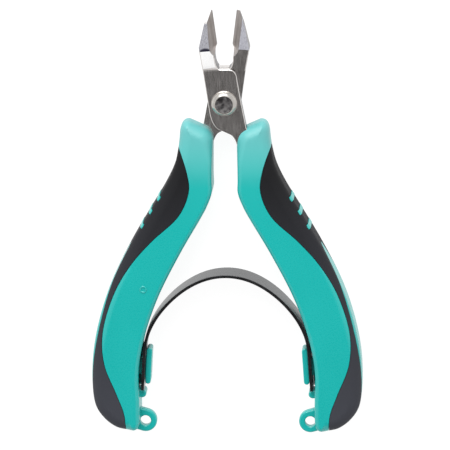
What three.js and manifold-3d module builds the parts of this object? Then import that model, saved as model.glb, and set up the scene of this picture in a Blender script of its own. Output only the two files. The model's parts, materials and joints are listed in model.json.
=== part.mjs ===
// Small side-cutting pliers with a lap joint, two-colour grips and a leaf return spring.
//
// Units are millimetres. X is across the handles, Y runs from the handle ends to the jaw tips,
// and Z is the thickness of the tool as it lies flat. Each half is drawn closed, with its
// cutting edge on x = 0 and its handle on the +X side, then turned open about the pivot.
// The front half carries the left jaw and the right handle; the rear half is its mirror image.

import * as THREE from 'three';
import { mergeVertices } from 'three/addons/utils/BufferGeometryUtils.js';
import Module from 'manifold-3d';

const wasm = await Module();
wasm.setup();

// ---- Driving dimensions ----

const HALF_OPENING = THREE.MathUtils.degToRad(7.5);
const PIVOT_Y = 33.25;
const GRIP_HALF_THICKNESS = 5.75;
const GAP = 0.3;

const PLATE_FACE_Z = 3.0;
const PLATE_LAP_Z = 0.15;
const LAP_RADIUS = 9.2;
const LAP_STEP_Y = 9.5;
const TIP_Y = 24.3;
const HEEL_Y = 15.1;
const EDGE_X = 0.06;
const EDGE_Z = -2.55;
const GROOVE_HALF_WIDTH = 1.95;
const GROOVE_END_Y = 12.7;
const FACET_START_Y = 14.6;
const FACET_DROP = 0.45;
const FACET_SLOPE = THREE.MathUtils.degToRad(20);
const FACET_TILT = THREE.MathUtils.degToRad(11);

const RIVET_HOLE_RADIUS = 2.13;
const RIVET_BARREL_RADIUS = 2.05;
const RIVET_BORE_RADIUS = 1.3;
const RIVET_PIN_RADIUS = 1.25;
const RIVET_HEAD_RADIUS = 3.5;
const RIVET_DISC_RADIUS = 2.15;
const RIVET_REAR_HEAD_RADIUS = 3.2;
const RIVET_HEAD_HEIGHT = 1.35;
const RIVET_REAR_HEAD_HEIGHT = 1.0;
const RIVET_DISC_DEPTH = 0.08;
const RIVET_SEAT_GAP = 0.08;
const RIVET_BARREL_END_Z = -2.9;
const RIVET_BORE_END_Z = 1.5;
const RIVET_PIN_END_Z = 1.2;

const GRIP_EDGE_RADIUS = 1.6;
const CORE_EDGE_RADIUS = 0.3;
const PAD_THICKNESS = 1.2;
const SPINE_HALF_WIDTH = 0.8;
const SPINE_DEPTH = 2.6;
const SPINE_TOP_Y = -42;
const SPINE_END_Y = -80;
const RIB_RADIUS = 0.6;
const RIB_HALF_LENGTH = 4.2;
const RIB_REACH = 2.2;

const SPRING_THICKNESS = 0.8;
const SPRING_HALF_WIDTH = 4.3;
const SPRING_RADIUS = 21.6;
const SPRING_FLATTENING = 0.8;
const SPRING_CENTRE_Y = -68.75;
const SPRING_LEG_ANGLE = THREE.MathUtils.degToRad(3.5);
const SPRING_LEG_LENGTH = 10.85;
const KEEPER_THICKNESS = 1.5;
const KEEPER_HALF_WIDTH = 2.5;
const KEEPER_START = -0.45;
const KEEPER_END = 9.45;
const POST_START = 2.55;
const POST_END = 7.35;
const POST_HALF_WIDTH = 1.0;
const POST_REACH = 4;
const SLOT_CLEARANCE = 0.4;
const STOP_RADIUS = 1.1;
const STOP_OFFSET = 0.5;

const EYE_CENTRE = [22.1, -87.5];
const EYE_RADIUS = 3.05;
const EYE_HOLE_RADIUS = 1.45;
const EYE_HALF_THICKNESS = 1.2;

// Half the height of every cut that goes right through the tool.
const CUT_HALF_HEIGHT = 8;

// ---- Outlines, drawn on the closed half with its handle at +X ----

const GRIP_INNER_EDGE = [
  [1.75, -10.8], [1.3, -16], [0.75, -20.6], [0.3, -24], [1.05, -27.6], [2.4, -31.4], [6.7, -41.8],
  [10.95, -54], [13.35, -65.5], [13.8, -75], [12.55, -84], [11.9, -89.2],
];
const GRIP_OUTER_EDGE = [
  [14.3, -92.1], [17.9, -91.8], [21.55, -89.7], [24.35, -86.1], [25.9, -79.5], [26.5, -71],
  [25.8, -61.8], [23.9, -52.5], [20.2, -41.6], [16.3, -32.2], [12.9, -24.3], [11.1, -18.6],
  [10.6, -13.5], [10.75, -8.9],
];
const PAD_BOUNDARY = [
  [12.2, -12.2], [10.5, -13.5], [7.7, -19], [6.45, -24.6], [8.5, -31.6], [14.6, -39.1],
  [19.4, -46.4], [22.9, -55], [24.6, -65.5], [23.2, -74.3], [19.1, -82], [16.3, -87.5],
  [15.2, -93],
];
const RIB_CENTRES = [[14.3, -27.3], [16, -31.4], [17.75, -35.5]];
const RIB_DIRECTION = [-0.92, -0.4];
const TANG_INNER_EDGE = [[1.9, -12.8], [2.9, -17], [3.7, -24], [5.4, -31], [8.1, -38]];
const TANG_END = [[10.6, -43.6], [11.9, -45.4], [13.9, -45.2], [14.9, -43]];
const TANG_OUTER_EDGE = [[13.4, -36.5], [10.8, -29], [8.2, -21], [6.1, -13], [4.85, -7.2]];

// ---- Helpers ----

function vectors(points, side = 1) {
  return points.map(([x, y]) => new THREE.Vector2(side * x, y));
}

function shapeFrom(points) {
  return new THREE.Shape(points);
}

// The points around a closed shape, mirrored for the rear half, without a repeated end point.
function outlineOf(shape, divisions, side) {
  const points = shape.extractPoints(divisions).shape;
  const distinct = points.filter((point, i) =>
    point.distanceTo(points[(i + 1) % points.length]) > 1e-4);
  return distinct.map((point) => new THREE.Vector2(side * point.x, point.y));
}

function prism(shape, lowZ, highZ, curveSegments = 6) {
  const options = { depth: highZ - lowZ, bevelEnabled: false, curveSegments };
  return new THREE.ExtrudeGeometry(shape, options).translate(0, 0, lowZ);
}

// A slab whose long edges are rounded, as thick as twice halfThickness.
function roundedSlab(points, halfThickness, edgeRadius) {
  const straight = halfThickness - edgeRadius;
  const geometry = new THREE.ExtrudeGeometry(shapeFrom(points), {
    depth: 2 * straight,
    bevelThickness: edgeRadius,
    bevelSize: edgeRadius,
    bevelOffset: -edgeRadius,
    bevelSegments: 3,
  });
  return geometry.translate(0, 0, -straight);
}

function distanceToOutline(place, points) {
  const distances = points.map((start, i) => {
    const along = points[(i + 1) % points.length].clone().sub(start);
    const share = THREE.MathUtils.clamp(place.clone().sub(start).dot(along) / along.lengthSq(), 0, 1);
    return place.distanceTo(start.clone().addScaledVector(along, share));
  });
  return Math.min(...distances);
}

// Moves a closed outline outwards by distance, or inwards when distance is negative.
// Places that fold over each other inside a tight corner are left out.
function offsetOutline(points, distance) {
  const turn = THREE.ShapeUtils.isClockWise(points) ? -1 : 1;
  const moved = points.map((point, i) => {
    const before = points[(i + points.length - 1) % points.length];
    const after = points[(i + 1) % points.length];
    const first = point.clone().sub(before).normalize();
    const second = after.clone().sub(point).normalize();
    const along = first.clone().add(second).normalize();
    const stretch = distance / Math.max(0.5, along.dot(second));
    return new THREE.Vector2(point.x + turn * along.y * stretch, point.y - turn * along.x * stretch);
  });
  return moved.filter((point) => distanceToOutline(point, points) > Math.abs(distance) - 0.02);
}

function toSolid(geometry) {
  const bare = geometry.clone();
  bare.deleteAttribute('normal');
  bare.deleteAttribute('uv');
  const merged = mergeVertices(bare, 1e-5);
  return new wasm.Manifold(new wasm.Mesh({
    numProp: 3,
    vertProperties: new Float32Array(merged.attributes.position.array),
    triVerts: new Uint32Array(merged.index.array),
  }));
}

function toGeometry(solid) {
  const mesh = solid.getMesh();
  const geometry = new THREE.BufferGeometry();
  geometry.setAttribute('position', new THREE.BufferAttribute(new Float32Array(mesh.vertProperties), 3));
  geometry.setIndex(new THREE.BufferAttribute(new Uint32Array(mesh.triVerts), 1));
  geometry.computeVertexNormals();
  return geometry;
}

function material(color, roughness, metalness) {
  return new THREE.MeshStandardMaterial({ color, roughness, metalness });
}

function named(name, geometry, finish) {
  const mesh = new THREE.Mesh(geometry, finish);
  mesh.name = name;
  return mesh;
}

// Turns a place on the open tool's right-hand side into the closed half's own frame.
function ontoClosedHalf([x, y]) {
  const cos = Math.cos(HALF_OPENING);
  const sin = Math.sin(HALF_OPENING);
  return [x * cos + y * sin, -x * sin + y * cos];
}

// ---- Levers: one forged jaw, half the lap joint and the tang inside the grip ----

function leverOutline(side) {
  const shape = new THREE.Shape();
  shape.moveTo(-EDGE_X, TIP_Y);
  shape.lineTo(-0.9, TIP_Y);
  shape.lineTo(-2.4, 21.4);
  shape.lineTo(-4.75, 15.2);
  shape.lineTo(-4.35, 8.5);
  shape.lineTo(-4.2, -1.8);
  shape.quadraticCurveTo(-4.1, -5.7, -2.2, -6.9);
  shape.lineTo(0.5, -8.6);
  shape.quadraticCurveTo(1.6, -9.4, ...TANG_INNER_EDGE[0]);
  shape.splineThru(vectors(TANG_INNER_EDGE.slice(1)));
  shape.splineThru(vectors(TANG_END));
  shape.splineThru(vectors(TANG_OUTER_EDGE));
  shape.lineTo(4.4, 0.5);
  shape.lineTo(4.25, 6.9);
  shape.quadraticCurveTo(4.1, 8.1, 3.4, 8.55);
  shape.absarc(0, 0, LAP_RADIUS, Math.atan2(8.55, 3.4), Math.PI / 2 - 0.02, false);
  shape.quadraticCurveTo(-0.75, 9.6, -0.85, 11.4);
  shape.quadraticCurveTo(-0.95, 14, -EDGE_X, HEEL_Y);
  return outlineOf(shape, 2, side);
}

// The hollow-ground recess along the front of the cutting edge, running back past the heel.
function grooveCutter(side) {
  const depth = 14;
  const profile = vectors([
    [1, EDGE_Z], [-EDGE_X, EDGE_Z], [-0.75, -2], [-1.4, -1.15], [-1.8, -0.1],
    [-GROOVE_HALF_WIDTH, 1], [-GROOVE_HALF_WIDTH, 4], [1, 4],
  ], side);
  const geometry = prism(shapeFrom(profile), 0, depth);
  return geometry.rotateX(Math.PI / 2).translate(0, GROOVE_END_Y + depth, 0);
}

// The ground facet that thins the jaw towards its tip.
function facetCutter(side) {
  const width = 12;
  const length = 14;
  const height = 4;
  const geometry = new THREE.BoxGeometry(width, length, height).translate(0, length / 2, height / 2);
  geometry.rotateX(-FACET_SLOPE);
  geometry.rotateY(-side * FACET_TILT);
  return geometry.translate(-side * GROOVE_HALF_WIDTH, FACET_START_Y, PLATE_FACE_Z - FACET_DROP);
}

function lever(side) {
  const half = toSolid(prism(shapeFrom(leverOutline(side)), -PLATE_FACE_Z, PLATE_FACE_Z));
  const lowZ = side > 0 ? -PLATE_FACE_Z - 1 : -PLATE_LAP_Z;
  const highZ = side > 0 ? PLATE_LAP_Z : PLATE_FACE_Z + 1;
  const otherLength = 2 * PIVOT_Y;
  const otherPlate = new THREE.BoxGeometry(otherLength, otherLength, highZ - lowZ);
  otherPlate.translate(0, LAP_STEP_Y - otherLength / 2, (lowZ + highZ) / 2);
  const hole = new THREE.CylinderGeometry(RIVET_HOLE_RADIUS, RIVET_HOLE_RADIUS, 2 * CUT_HALF_HEIGHT, 32);
  return half
    .subtract(toSolid(otherPlate))
    .subtract(toSolid(grooveCutter(side)))
    .subtract(toSolid(facetCutter(side)))
    .subtract(toSolid(hole.rotateX(Math.PI / 2)));
}

// ---- Pivot: a barrel with the front head, and a pin with the rear head pressed into it ----

function lathe(profile) {
  return new THREE.LatheGeometry(vectors(profile), 32).rotateX(Math.PI / 2);
}

// A head seated on the plate: a rounded rim around a flat disc.
function headProfile(rimRadius, height) {
  const base = PLATE_FACE_Z + RIVET_SEAT_GAP;
  const rimWidth = rimRadius - RIVET_DISC_RADIUS;
  const rim = [0, 0.25, 0.5, 0.75, 1].map((share) => {
    const angle = share * Math.PI / 2;
    return [RIVET_DISC_RADIUS + rimWidth * Math.cos(angle), base + height * Math.sin(angle)];
  });
  const disc = base + height - RIVET_DISC_DEPTH;
  return [...rim, [RIVET_DISC_RADIUS, disc], [0, disc]];
}

function rivetBarrel() {
  return lathe([
    [0, RIVET_BORE_END_Z], [RIVET_BORE_RADIUS, RIVET_BORE_END_Z],
    [RIVET_BORE_RADIUS, RIVET_BARREL_END_Z], [RIVET_BARREL_RADIUS, RIVET_BARREL_END_Z],
    [RIVET_BARREL_RADIUS, PLATE_FACE_Z + RIVET_SEAT_GAP],
    ...headProfile(RIVET_HEAD_RADIUS, RIVET_HEAD_HEIGHT),
  ]);
}

// Drawn like the barrel, then turned over so that its head lies behind the rear plate.
function rivetPin() {
  const profile = [
    [0, -RIVET_PIN_END_Z], [RIVET_PIN_RADIUS, -RIVET_PIN_END_Z],
    [RIVET_PIN_RADIUS, PLATE_FACE_Z + RIVET_SEAT_GAP],
    ...headProfile(RIVET_REAR_HEAD_RADIUS, RIVET_REAR_HEAD_HEIGHT),
  ];
  return lathe(profile).rotateX(Math.PI);
}

// ---- Leaf spring: a round arch with a straight leg down the inside of each handle ----

// A place on the right leg: along it from its top, and outwards from its inner face.
function onLeg(along, outwards) {
  const cos = Math.cos(SPRING_LEG_ANGLE);
  const sin = Math.sin(SPRING_LEG_ANGLE);
  const top = [SPRING_RADIUS * cos, SPRING_CENTRE_Y + SPRING_RADIUS * sin];
  return [top[0] + along * sin + outwards * cos, top[1] - along * cos + outwards * sin];
}

// The arch from one angle to the other, a little flatter halfway between its top and its legs.
function arch(radius, start, end) {
  const steps = 36;
  const points = [];
  for (let i = 0; i <= steps; i += 1) {
    const angle = start + (end - start) * i / steps;
    const reach = radius - SPRING_FLATTENING * Math.sin(2 * angle) ** 2;
    points.push([reach * Math.cos(angle), SPRING_CENTRE_Y + reach * Math.sin(angle)]);
  }
  return points;
}

function springOutline() {
  const outer = SPRING_RADIUS + SPRING_THICKNESS;
  const far = Math.PI - SPRING_LEG_ANGLE;
  const [outerEnd, innerEnd] = [SPRING_THICKNESS, 0].map((outwards) => onLeg(SPRING_LEG_LENGTH, outwards));
  return shapeFrom([
    ...vectors([outerEnd, ...arch(outer, SPRING_LEG_ANGLE, far)]),
    ...vectors([outerEnd, innerEnd], -1),
    ...vectors([...arch(SPRING_RADIUS, far, SPRING_LEG_ANGLE), innerEnd]),
  ]);
}

function leafSpring() {
  const band = toSolid(prism(springOutline(), -SPRING_HALF_WIDTH, SPRING_HALF_WIDTH));
  const start = POST_START - SLOT_CLEARANCE;
  const end = POST_END + SLOT_CLEARANCE;
  const beyond = 2 * SPRING_THICKNESS;
  const corners = [onLeg(start, -beyond), onLeg(end, -beyond), onLeg(end, beyond), onLeg(start, beyond)];
  const slotHalfWidth = POST_HALF_WIDTH + SLOT_CLEARANCE;
  const slots = [1, -1].map((side) =>
    toSolid(prism(shapeFrom(vectors(corners, side)), -slotHalfWidth, slotHalfWidth)));
  return slots.reduce((spring, slot) => spring.subtract(slot), band);
}

// ---- Grips: a hard core over the tang, with a soft pad wrapped around its outer side ----

function gripOutline(side) {
  const inner = GRIP_INNER_EDGE;
  const outer = GRIP_OUTER_EDGE;
  const shape = new THREE.Shape();
  shape.moveTo(...inner[0]);
  shape.splineThru(vectors(inner.slice(1)));
  shape.quadraticCurveTo(11.7, -91.9, ...outer[0]);
  shape.splineThru(vectors(outer.slice(1)));
  shape.quadraticCurveTo(10.65, -6.05, 8.6, -6.1);
  shape.lineTo(4.6, -7.3);
  shape.quadraticCurveTo(1.9, -8.2, ...inner[0]);
  return outlineOf(shape, 2, side);
}

function padRegion(side) {
  const boundary = new THREE.SplineCurve(vectors(PAD_BOUNDARY)).getPoints(30);
  const beyond = vectors([[15.2, -97], [34, -97], [34, -11]]);
  return [...boundary, ...beyond].map((point) => new THREE.Vector2(side * point.x, point.y));
}

// The stretch of the outer side where the core's spine shows between the two pad faces.
function spineRegion(side, allowance) {
  const margin = 5;
  const edge = GRIP_OUTER_EDGE.filter(([, y]) => y < SPINE_TOP_Y + margin && y > SPINE_END_Y - margin);
  const inside = edge.map(([x, y]) => [x - SPINE_DEPTH, y]);
  const outside = edge.map(([x, y]) => [x + margin, y]).reverse();
  const band = toSolid(prism(shapeFrom(vectors([...inside, ...outside], side)),
    -SPINE_HALF_WIDTH - allowance, SPINE_HALF_WIDTH + allowance));
  const length = SPINE_TOP_Y - SPINE_END_Y + 2 * allowance;
  const window = new THREE.BoxGeometry(2 * length, length, 2 * CUT_HALF_HEIGHT);
  return band.intersect(toSolid(window.translate(0, (SPINE_TOP_Y + SPINE_END_Y) / 2, 0)));
}

// A short bar across the handle's outer side, reaching inwards to the core.
function rib(centre, side, allowance) {
  const radius = RIB_RADIUS + allowance;
  const angle = Math.atan2(RIB_DIRECTION[1], RIB_DIRECTION[0]);
  const shape = new THREE.Shape();
  shape.absarc(centre[0], centre[1], radius, angle + 1.5 * Math.PI, angle + 0.5 * Math.PI, true);
  shape.lineTo(
    centre[0] + RIB_REACH * Math.cos(angle) - radius * Math.sin(angle),
    centre[1] + RIB_REACH * Math.sin(angle) + radius * Math.cos(angle));
  shape.lineTo(
    centre[0] + RIB_REACH * Math.cos(angle) + radius * Math.sin(angle),
    centre[1] + RIB_REACH * Math.sin(angle) - radius * Math.cos(angle));
  const halfLength = RIB_HALF_LENGTH + allowance;
  return toSolid(prism(shapeFrom(outlineOf(shape, 5, side)), -halfLength, halfLength));
}

// The bar that holds the spring leg against the handle, on a post through the leg's slot.
function keeper(side) {
  const middle = -GAP - KEEPER_THICKNESS / 2;
  const radius = KEEPER_THICKNESS / 2;
  const [topX, topY] = ontoClosedHalf(onLeg(KEEPER_START + radius, middle));
  const [endX, endY] = ontoClosedHalf(onLeg(KEEPER_END - radius, middle));
  const angle = Math.atan2(topY - endY, topX - endX);
  const bar = new THREE.Shape();
  bar.absarc(topX, topY, radius, angle - Math.PI / 2, angle + Math.PI / 2, false);
  bar.absarc(endX, endY, radius, angle + Math.PI / 2, angle + 1.5 * Math.PI, false);
  const postPoints = [
    onLeg(POST_START, middle), onLeg(POST_END, middle),
    onLeg(POST_END, POST_REACH), onLeg(POST_START, POST_REACH),
  ].map(ontoClosedHalf);
  const post = toSolid(prism(shapeFrom(vectors(postPoints, side)), -POST_HALF_WIDTH, POST_HALF_WIDTH));
  const barShape = shapeFrom(outlineOf(bar, 4, side));
  return toSolid(prism(barShape, -KEEPER_HALF_WIDTH, KEEPER_HALF_WIDTH)).add(post);
}

function disc([x, y], radius, halfThickness, side, segments = 20) {
  const geometry = new THREE.CylinderGeometry(radius, radius, 2 * halfThickness, segments);
  return toSolid(geometry.rotateX(Math.PI / 2).translate(side * x, y, 0));
}

function springStop(side) {
  const centre = ontoClosedHalf(onLeg(SPRING_LEG_LENGTH + GAP + STOP_RADIUS, STOP_OFFSET));
  return disc(centre, STOP_RADIUS, KEEPER_HALF_WIDTH, side, 16);
}

function tangSlot(side) {
  const outline = offsetOutline(leverOutline(side), GAP);
  const lowZ = side > 0 ? PLATE_LAP_Z - GAP : -PLATE_FACE_Z - GAP;
  const highZ = side > 0 ? PLATE_FACE_Z + GAP : -PLATE_LAP_Z + GAP;
  return toSolid(prism(shapeFrom(outline), lowZ, highZ));
}

function gripCore(side) {
  const outline = gripOutline(side);
  const whole = toSolid(roundedSlab(outline, GRIP_HALF_THICKNESS, GRIP_EDGE_RADIUS));
  const seat = PAD_THICKNESS + GAP;
  const coreThickness = GRIP_HALF_THICKNESS - seat;
  const underPad = toSolid(roundedSlab(offsetOutline(outline, -seat), coreThickness, CORE_EDGE_RADIUS));
  const pocketOutline = shapeFrom(offsetOutline(padRegion(side), GAP));
  const pocket = toSolid(prism(pocketOutline, -CUT_HALF_HEIGHT, CUT_HALF_HEIGHT));
  const eyeCentre = ontoClosedHalf(EYE_CENTRE);
  const ribs = RIB_CENTRES.map((centre) => rib(centre, side, 0).intersect(whole));
  const proud = ribs.reduce((all, one) => all.add(one), spineRegion(side, 0).intersect(whole));
  return whole
    .subtract(pocket)
    .add(underPad)
    .add(proud)
    .add(keeper(side))
    .add(springStop(side))
    .add(disc(eyeCentre, EYE_RADIUS, EYE_HALF_THICKNESS, side))
    .subtract(disc(eyeCentre, EYE_HOLE_RADIUS, CUT_HALF_HEIGHT, side))
    .subtract(tangSlot(side));
}

function gripPad(side) {
  const outline = gripOutline(side);
  const whole = toSolid(roundedSlab(outline, GRIP_HALF_THICKNESS, GRIP_EDGE_RADIUS));
  const inside = offsetOutline(outline, -PAD_THICKNESS);
  const hollow = toSolid(roundedSlab(inside, GRIP_HALF_THICKNESS - PAD_THICKNESS, CORE_EDGE_RADIUS));
  const region = toSolid(prism(shapeFrom(padRegion(side)), -CUT_HALF_HEIGHT, CUT_HALF_HEIGHT));
  const shell = whole.intersect(region).subtract(hollow);
  const openings = RIB_CENTRES.map((centre) => rib(centre, side, GAP));
  return openings.reduce((pad, opening) => pad.subtract(opening), shell)
    .subtract(spineRegion(side, GAP));
}

// ---- Assembly ----

const steel = () => material(0x77716d, 0.32, 1);
const plating = () => material(0xb9b6ae, 0.22, 1);
const springSteel = () => material(0x1d1e21, 0.35, 1);
const hardPlastic = () => material(0x27bfb4, 0.42, 0);
const softRubber = () => material(0x26272b, 0.7, 0);

function half(side, leverName, gripName) {
  const group = new THREE.Group();
  group.add(named(leverName, toGeometry(lever(side)), steel()));
  group.add(named(`${gripName}_grip_core`, toGeometry(gripCore(side)), hardPlastic()));
  group.add(named(`${gripName}_grip_pad`, toGeometry(gripPad(side)), softRubber()));
  group.rotation.z = side * HALF_OPENING;
  return group;
}

const tool = new THREE.Group();
tool.add(half(1, 'front_jaw_lever', 'right'));
tool.add(half(-1, 'rear_jaw_lever', 'left'));
tool.add(named('pivot_rivet_barrel', rivetBarrel(), plating()));
tool.add(named('pivot_rivet_pin', rivetPin(), plating()));
tool.add(named('leaf_spring', toGeometry(leafSpring()), springSteel()));
tool.position.set(0, PIVOT_Y, GRIP_HALF_THICKNESS);

const group = new THREE.Group();
group.add(tool);

export default group;
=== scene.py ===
"""A small pair of side-cutting pliers: ground steel jaws on a riveted lap joint, two-colour
moulded grips and a black leaf return spring.

Shapes are drawn in millimetres around the pivot, as the part's source does: each half closed,
its cutting edge on x = 0 and its handle at +X, then mirrored for the rear half (side -1),
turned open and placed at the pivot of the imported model, in metres.
"""

import json
import math

import bmesh
import bpy
import numpy as np
from mathutils import Matrix, Vector


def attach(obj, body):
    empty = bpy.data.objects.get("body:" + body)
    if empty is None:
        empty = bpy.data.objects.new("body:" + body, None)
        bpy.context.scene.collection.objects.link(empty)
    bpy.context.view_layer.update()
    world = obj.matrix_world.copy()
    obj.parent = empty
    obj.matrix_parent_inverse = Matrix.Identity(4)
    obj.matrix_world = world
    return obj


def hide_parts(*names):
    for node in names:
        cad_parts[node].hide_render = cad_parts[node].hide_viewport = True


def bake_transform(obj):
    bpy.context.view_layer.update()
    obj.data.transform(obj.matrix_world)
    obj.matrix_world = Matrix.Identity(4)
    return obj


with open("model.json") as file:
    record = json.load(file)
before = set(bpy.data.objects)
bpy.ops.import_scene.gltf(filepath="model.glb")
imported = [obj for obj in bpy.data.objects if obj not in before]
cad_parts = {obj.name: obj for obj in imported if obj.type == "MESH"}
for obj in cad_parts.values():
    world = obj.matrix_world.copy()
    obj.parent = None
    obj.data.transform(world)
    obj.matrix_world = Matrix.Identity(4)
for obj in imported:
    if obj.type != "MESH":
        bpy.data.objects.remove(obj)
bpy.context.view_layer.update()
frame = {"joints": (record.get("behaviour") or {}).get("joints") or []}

# ---- Driving dimensions, in millimetres unless the name says otherwise ----

MM = 0.001
HINGE = frame["joints"][0]
PIVOT = Vector(HINGE["pos_m"])
HALF_OPENING = math.radians(7.5)

PLATE_FACE_Z = 3.0
PLATE_LAP_Z = 0.15
LAP_RADIUS = 9.2
LAP_END_ANGLE = math.pi / 2 - 0.02
LAP_STEP_Y = 9.5
CHAMFER_ACROSS = 0.26
CHAMFER_DEEP = 0.15
TIP_Y = 24.3
HEEL_Y = 15.1
EDGE_X = 0.06
JAW_CORNER_Y = 15.2
RELIEF_START_Y = 8.9
RELIEF_END_Y = 10.8
RELIEF_SLOPE = math.radians(12)
RELIEF_SLICE = 0.25

GROOVE_RADIUS_X = 1.95
GROOVE_RADIUS_Z = 3.55
GROOVE_CENTRE_Z = 1.0
GROOVE_END_Y = 12.7
GROOVE_RUNOUT = 2.2
GROOVE_LAST_ANGLE = math.radians(88.5)
FACET_STARTS = {1: 14.1, -1: 14.8}
FACET_DROPS = {1: 1.4, -1: 0.45}
FACET_SLOPES = {1: math.radians(17), -1: math.radians(20)}
FACET_TILT = math.radians(11)
FACET_SHADE_RADIUS = 2.05
FACET_SHADE_HEIGHT = 0.85
FACET_SHADE_ACROSS = 1.35
FACET_SHADE_INSIDE = 0.1
FACET_SHADE_OUTSIDE = 0.3

RIVET_HOLE_RADIUS = 2.13
RIVET_BARREL_RADIUS = 2.05
RIVET_BORE_RADIUS = 1.3
RIVET_PIN_RADIUS = 1.25
RIVET_HEAD_RADIUS = 3.42
RIVET_REAR_HEAD_RADIUS = 3.2
RIVET_DISC_RADIUS = 2.25
RIVET_HEAD_HEIGHT = 1.32
RIVET_REAR_HEAD_HEIGHT = 0.98
RIVET_DISC_DEPTH = 0.16
RIVET_DISH_DEPTH = 0.1
RIVET_UNDERCUT = 0.12
RIVET_RIM_POWER = 1.45
RIVET_SEAT_GAP = 0.08
RIVET_BARREL_END_Z = -2.9
RIVET_BORE_END_Z = 1.5
RIVET_PIN_END_Z = 1.2

GRIP_HALF_THICKNESS = 5.75
GRIP_TOP_THINNING = 0.2
GRIP_THINNING_START_Y = -21
GRIP_THINNING_END_Y = -6
GRIP_THINNING_SLICE = 0.5
GRIP_POINT_SPACING = 0.55
INNER_EDGE_RADII = (1.3, 1.2)
OUTER_EDGE_RADII = (3.2, 2.9)
TOP_EDGE_RADII = (3.2, 4.2)
SMALLEST_EDGE_RADIUS = 0.4
EDGE_EASING_REACH = 2.5
TOP_ROUNDING_START_Y = -17
TOP_ROUNDING_END_Y = -8.5
PAD_THICKNESS = 1.2
SEAM = 0.14
TANG_CLEARANCE = 0.04
SPINE_TOP_Y = -41
SPINE_END_Y = -90
SPINE_HALF_WIDTH = 4.35
SPINE_DEPTH = 3.4
SPINE_POINTEDNESS = 1.2
RIB_RADIUS = 0.64
RIB_HALF_LENGTH = 5.5
RIB_REACH = 2.4
RIB_ROOT_LENGTH = 2.2
RIB_ROOT_HALF_LENGTH = 4.3
RIB_PROUD = 0.12
RIB_EDGE_RADIUS = 0.2

SPRING_THICKNESS = 0.8
SPRING_HALF_WIDTH = 4.3
SPRING_EDGE_RADIUS = 0.1
SPRING_RADIUS = 21.6
SPRING_FLATTENING = 0.8
SPRING_CENTRE_Y = -68.75
SPRING_LEG_ANGLE = math.radians(3.5)
SPRING_LEG_LENGTH = 10.85
KEEPER_THICKNESS = 1.5
KEEPER_GAP = 0.1
STOP_GAP = 0.3
KEEPER_HALF_WIDTH = 2.5
KEEPER_EDGE_RADIUS = 0.25
KEEPER_START = -0.45
KEEPER_END = 9.45
POST_START = 2.55
POST_END = 7.35
POST_HALF_WIDTH = 1.0
POST_REACH = 4.0
POST_EDGE_RADIUS = 0.15
SLOT_CLEARANCE = 0.4
SEAT_GAP = 0.12
SEAT_REACH = 4.0
SEAT_LOW_Z = -4.2
SEAT_HIGH_Z = -1.6
STOP_RADIUS = 1.1
STOP_OFFSET = 0.5
STOP_EDGE_RADIUS = 0.4

EYE_CENTRE = (22.1, -87.5)
EYE_RADIUS = 3.05
EYE_HOLE_RADIUS = 1.45
EYE_HOLE_FLARE = 0.2
EYE_EDGE_RADIUS = 0.5
EYE_HALF_THICKNESS = 1.2
EYE_ROOT_LENGTH = 5.0
EYE_ROOT_RISE = 0.8
MARK_CENTRE = (15.2, -52.4)
MARK_RADIUS = 0.75
MARK_TUBE = 0.24
MARK_SINK = 0.03

CUT_HALF_HEIGHT = 8.0
CUT_REACH = 60

# ---- Where the finishes and the painted sheen change along the handles, as Y in the imported model, in metres ----

SHEEN_START_Y = 0.011
SHEEN_END_Y = 0.028
MATT_START_Y = 0.0
MATT_END_Y = 0.022
PAD_SHEEN_START_Y = 0.015
PAD_SHEEN_END_Y = -0.05

# ---- Outlines of the closed half, with its handle at +X ----

GRIP_INNER_EDGE = [
    (1.75, -10.8), (1.3, -16), (0.75, -20.6), (0.3, -24), (1.05, -27.6), (2.4, -31.4), (6.7, -41.8),
    (10.95, -54), (13.35, -65.5), (13.8, -75), (12.55, -84), (11.9, -89.2),
]
GRIP_OUTER_EDGE = [
    (14.3, -92.1), (17.9, -91.8), (21.55, -89.7), (24.35, -86.1), (25.9, -79.5), (26.5, -71),
    (25.8, -61.8), (23.9, -52.5), (20.2, -41.6), (16.3, -32.2), (12.9, -24.3), (11.1, -18.6),
    (10.6, -13.5), (10.75, -8.9),
]
PAD_BOUNDARY = [
    (12.2, -12.2), (10.5, -13.5), (7.7, -19), (6.45, -24.6), (8.5, -31.6), (14.6, -39.1),
    (19.4, -46.4), (22.9, -55), (24.6, -65.5), (23.2, -74.3), (19.1, -82), (16.3, -87.5),
    (15.2, -93),
]
BEYOND_THE_PAD = [(15.2, -97), (34, -97), (34, -11)]
RIB_CENTRES = [(14.45, -27.4), (16.2, -31.3), (17.95, -35.45)]
RIB_DIRECTION = Vector((0.92, 0.4)).normalized()
TANG_INNER_EDGE = [(1.9, -12.8), (2.9, -17), (3.7, -24), (5.4, -31), (8.1, -38)]
TANG_END = [(10.6, -43.6), (11.9, -45.4), (13.9, -45.2), (14.9, -43)]
TANG_OUTER_EDGE = [(13.4, -36.5), (10.8, -29), (8.2, -21), (6.1, -13), (4.85, -7.2)]


# ---- Curves ----

SAME_PLACE = 1e-3
LONGEST_CORNER = 2
FOLD_SHARE = 0.9


def spline(points, steps=10):
    """A smooth curve through every point, without its first point."""
    curve = []
    for i in range(len(points) - 1):
        before = np.array(points[max(i - 1, 0)], float)
        start = np.array(points[i], float)
        end = np.array(points[i + 1], float)
        after = np.array(points[min(i + 2, len(points) - 1)], float)
        leaving = (end - before) / 2
        arriving = (after - start) / 2
        for k in range(1, steps + 1):
            t = k / steps
            curve.append((2 * t**3 - 3 * t**2 + 1) * start + (t**3 - 2 * t**2 + t) * leaving
                         + (3 * t**2 - 2 * t**3) * end + (t**3 - t**2) * arriving)
    return [tuple(point) for point in curve]


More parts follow.
